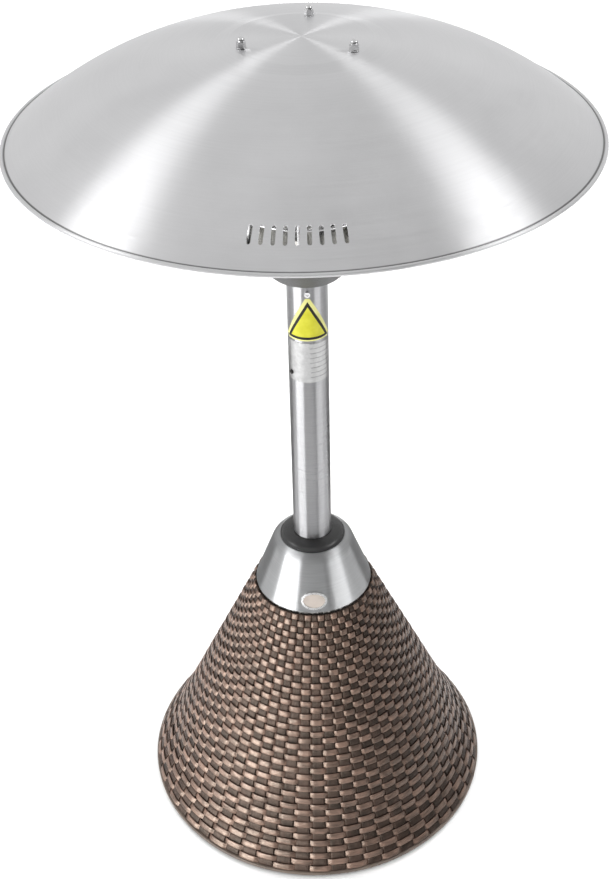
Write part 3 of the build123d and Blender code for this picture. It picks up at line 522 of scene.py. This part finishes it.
# Each finish has its dark and light colours and its roughness. Then turned metal has how close its
# rings are, other metal has how fine its marks are, and a coating has its grain's scale and depth.
finishes = {
    "spun_steel": spun("look_spun_steel", (0.8, 0.8, 0.81), (0.84, 0.84, 0.85), 0.38, 500.0, hem_groove),
    "spun_steel_cone": spun("look_cone", (0.4, 0.405, 0.41), (0.47, 0.475, 0.48), 0.36, 1200.0),
    "stainless_tube": spun("look_tube", (0.32, 0.32, 0.328), (0.37, 0.37, 0.378), 0.31, 2200.0),
    "polished_reflector": bright_metal("look_reflector", grey(0.8), (0.88, 0.88, 0.87), 0.12, 300.0),
    "plated_steel": bright_metal("look_plated", (0.5, 0.5, 0.48), (0.62, 0.61, 0.57), 0.3, 600.0),
    "bright_fastener": bright_metal("look_bright_fastener", (0.62, 0.62, 0.63), grey(0.75), 0.18, 900.0),
    "dark_fastener": bright_metal("look_dark_fastener", grey(0.05), (0.09, 0.085, 0.08), 0.4, 900.0),
    "guard_wire": bright_metal("look_guard_wire", (0.42, 0.42, 0.43), grey(0.58), 0.25, 900.0),
    "filament": bright_metal("look_filament", (0.2, 0.14, 0.09), (0.3, 0.2, 0.12), 0.45, 2000.0),
    "chrome_trim": bright_metal("look_chrome", grey(0.78), grey(0.88), 0.3, 900.0),
    "brass": bright_metal("look_brass", (0.6, 0.42, 0.16), (0.75, 0.55, 0.24), 0.25, 900.0),
    "grey_enamel": coated("look_grey_enamel", (0.055, 0.056, 0.057), (0.075, 0.076, 0.077),
                          0.55, 500.0, 0.2 * MM),
    "white_ceramic": coated("look_ceramic", (0.72, 0.7, 0.66), (0.82, 0.8, 0.76), 0.55, 700.0, 0.2 * MM),
    "black_rubber": coated("look_rubber", grey(0.016), grey(0.028), 0.22, 700.0, 0.1 * MM),
    "lead_sleeve": coated("look_lead", (0.02, 0.02, 0.022), (0.04, 0.04, 0.042), 0.6, 900.0, 0.3 * MM),
    "cream_enamel": coated("look_cream", (0.38, 0.33, 0.295), (0.56, 0.5, 0.45), 0.22, 300.0, 0.1 * MM),
    "liner_plastic": coated("look_liner", (0.03, 0.022, 0.018), (0.045, 0.034, 0.028),
                            0.6, 300.0, 0.4 * MM),
    "edging_plastic": coated("look_edging", (0.1, 0.075, 0.06), (0.16, 0.125, 0.1), 0.45, 400.0, 0.3 * MM),
    "black_powder_coat": coated("look_powder", grey(0.012), grey(0.022), 0.6, 900.0, 0.5 * MM),
    "ballast_iron": coated("look_iron", grey(0.03), (0.06, 0.055, 0.05), 0.75, 250.0, 1.2 * MM),
    "black_plastic": coated("look_black_plastic", grey(0.012), grey(0.02), 0.4, 900.0, 0.3 * MM),
    "rocker_plastic": coated("look_rocker", grey(0.012), grey(0.018), 0.28, 500.0, 0.2 * MM),
    "plunger_nylon": coated("look_nylon", (0.65, 0.64, 0.6), (0.75, 0.74, 0.7), 0.45, 500.0, 0.2 * MM),
    "block_plastic": coated("look_block", (0.6, 0.6, 0.58), (0.7, 0.7, 0.68), 0.4, 500.0, 0.2 * MM),
    "quartz_glass": quartz(),
    "yellow_vinyl": triangle_label(),
    "silver_foil": ruled_foil(),
}

for node in nodes.values():
    slot_name = node.data.materials[0].name
    if slot_name in finishes:
        node.data.materials[0] = finishes[slot_name]

strand_finish = woven("look_strand", (0.03, 0.017, 0.0125), (0.145, 0.089, 0.067), 0.34, 1.0, True)
stake_finish = woven("look_stake", (0.004, 0.0022, 0.0016), (0.036, 0.021, 0.016), 0.42, 0.4, False)

strands = piece("wicker_strands", *strand_rows(), "heater", "woven_rattan", ["wicker_cover"])
strands.data.materials.append(strand_finish)
stakes = piece("wicker_stakes", *stake_strips(), "heater", "woven_rattan")
stakes.data.materials.append(stake_finish)

hem = piece("dome_hem", *hem_ring(), "heater", "spun_steel")
hem.data.materials.append(finishes["spun_steel"])


# ---------------------------------------------------------------- studio
floor_reach = 7.0             # from the middle to each side of the floor, in metres


def floor():
    """A wide pale floor under the feet."""
    mesh = bpy.data.meshes.new("floor")
    signs = [(-1, -1), (1, -1), (1, 1), (-1, 1)]
    corners = [(x * floor_reach, y * floor_reach, 0) for x, y in signs]
    mesh.from_pydata(corners, [], [(0, 1, 2, 3)])
    made = bpy.data.objects.new("floor", mesh)
    bpy.context.scene.collection.objects.link(made)
    look, tree, shader = start("look_floor")
    grain = noise(tree, place(tree), 3.0, 2.0)
    use(tree, shader, Base_Color=tint(tree, grain, grey(0.86), grey(0.9)), Roughness=0.8)
    mesh.materials.append(look)
    return made


def lamp(name, spot, target, width, height, power, shines_on=None):
    """A soft rectangular light at a spot, turned to a target; it may be kept to a few objects."""
    light = bpy.data.lights.new(name, "AREA")
    light.shape = "RECTANGLE"
    light.size = width
    light.size_y = height
    light.energy = power
    made = bpy.data.objects.new(name, light)
    made.location = spot
    made.rotation_euler = (Vector(target) - Vector(spot)).to_track_quat("-Z", "Y").to_euler()
    bpy.context.scene.collection.objects.link(made)
    if shines_on:
        made.light_linking.receiver_collection = shines_on
    return made


def group(name, members):
    """A collection of objects that a light is kept to."""
    made = bpy.data.collections.new(name)
    for member in members:
        made.objects.link(member)
    return made


def flag(name, first, last, height, shade):
    """An upright dark card between two spots on the floor. Only reflections see it: it darkens part
    of a shiny piece."""
    left, right, up = Vector(first), Vector(last), Vector((0, 0, height))
    mesh = bpy.data.meshes.new(name)
    mesh.from_pydata([left, right, right + up, left + up], [], [(0, 1, 2, 3)])
    made = bpy.data.objects.new(name, mesh)
    bpy.context.scene.collection.objects.link(made)
    look, tree, shader = start("look_" + name)
    grain = noise(tree, place(tree), 5.0, 2.0)
    use(tree, shader, Base_Color=tint(tree, grain, grey(shade), grey(shade * 1.4)), Roughness=0.9)
    mesh.materials.append(look)
    made.visible_camera = False
    made.visible_diffuse = False
    made.visible_shadow = False
    return made


def sky(dim, bright, toward):
    """Light from all round, bright on one side of the room and dim on the other."""
    world = bpy.data.worlds.new("studio")
    world.use_nodes = True
    tree = world.node_tree
    direction = add(tree, "TexCoord").outputs["Generated"]
    facing = add(tree, "VectorMath", {0: direction, 1: toward}, operation="DOT_PRODUCT")
    strength = remap(tree, facing.outputs["Value"], -0.4, 0.4, dim, bright, "SMOOTHSTEP")
    back = tree.nodes["Background"]
    use(tree, back, Color=(1, 1, 1, 1), Strength=strength)
    bpy.context.scene.world = world


def camera():
    """Camera in front of the heater, above it and looking down."""
    spot = Vector((0, -1.2967, 1.4586))
    pitch, roll = math.radians(33.196), math.radians(-1.3007)
    level = Vector((1, 0, 0))
    forward = Vector((0, math.cos(pitch), -math.sin(pitch)))
    upright = level.cross(forward)
    right = math.cos(roll) * level + math.sin(roll) * upright
    up = -math.sin(roll) * level + math.cos(roll) * upright
    lens = bpy.data.cameras.new("camera")
    lens.sensor_width = 36.0
    lens.lens = 57.16
    lens.shift_x = -0.0037
    lens.shift_y = -0.087
    lens.clip_end = 100.0
    made = bpy.data.objects.new("camera", lens)
    turn = Matrix((right, up, -forward)).transposed().to_4x4()
    made.matrix_world = Matrix.Translation(spot) @ turn
    bpy.context.scene.collection.objects.link(made)
    bpy.context.scene.camera = made


ground = floor()
camera()
sky(0.12, 0.78, (-0.35, 0.5, 0.79))
lamp("left_side", (-1.9, -0.1, 2.3), (0, 0, 0.9), 1.15, 0.8, 8)
lamp("right_side", (1.9, -0.25, 2.3), (0, 0, 0.9), 1.15, 0.8, 8)

# The low lights are kept off the dome, its hem and the floor, which they would turn too bright.
kept_off = (nodes["reflector_dome"], hem, ground)
meshes = [item for item in bpy.context.scene.objects if item.type == "MESH"]
low_pieces = [item for item in meshes if item not in kept_off]
low_but_weave = [item for item in low_pieces if item not in (strands, stakes)]
below_the_dome = group("below_the_dome", low_pieces)
below_but_weave = group("below_but_weave", low_but_weave)
weave = group("weave", [strands, stakes])
lamp("low_left", (-1.62, -1.2, 0.35), (0, 0, 0.3), 1.65, 0.6, 40, below_the_dome)
lamp("low_right", (1.65, -1.2, 0.4), (0, 0, 0.35), 1.2, 0.5, 10, below_but_weave)
lamp("weave_left", (-1.3, -1.4, 0.45), (0, 0, 0.15), 0.8, 0.6, 36, weave)

# These light the floor and stay out of reflections.
for side in (-1, 1):
    wash = lamp("floor_wash", (side * 2.0, 2.5, 3.0), (0, 1.0, 0), 2.0, 2.0, 50)
    wash.visible_glossy = False
front_wash = lamp("front_wash", (0, -2.5, 2.5), (0, 0, 0), 3.0, 2.0, 45, group("ground", [ground]))
front_wash.visible_glossy = False

# Cards that darken the right of the cone and the post, and both edges of the post.
flag("front_card", (0.25, -0.5, 0.0), (0.9, -1.5, 0.0), 1.3, 0.02)
for side in (-1, 1):
    flag("rear_card", (side * 0.54, 0.2, 0.0), (side * 0.2, 0.55, 0.0), 0.36, 0.18)
bpy.context.scene.view_settings.view_transform = "Standard"
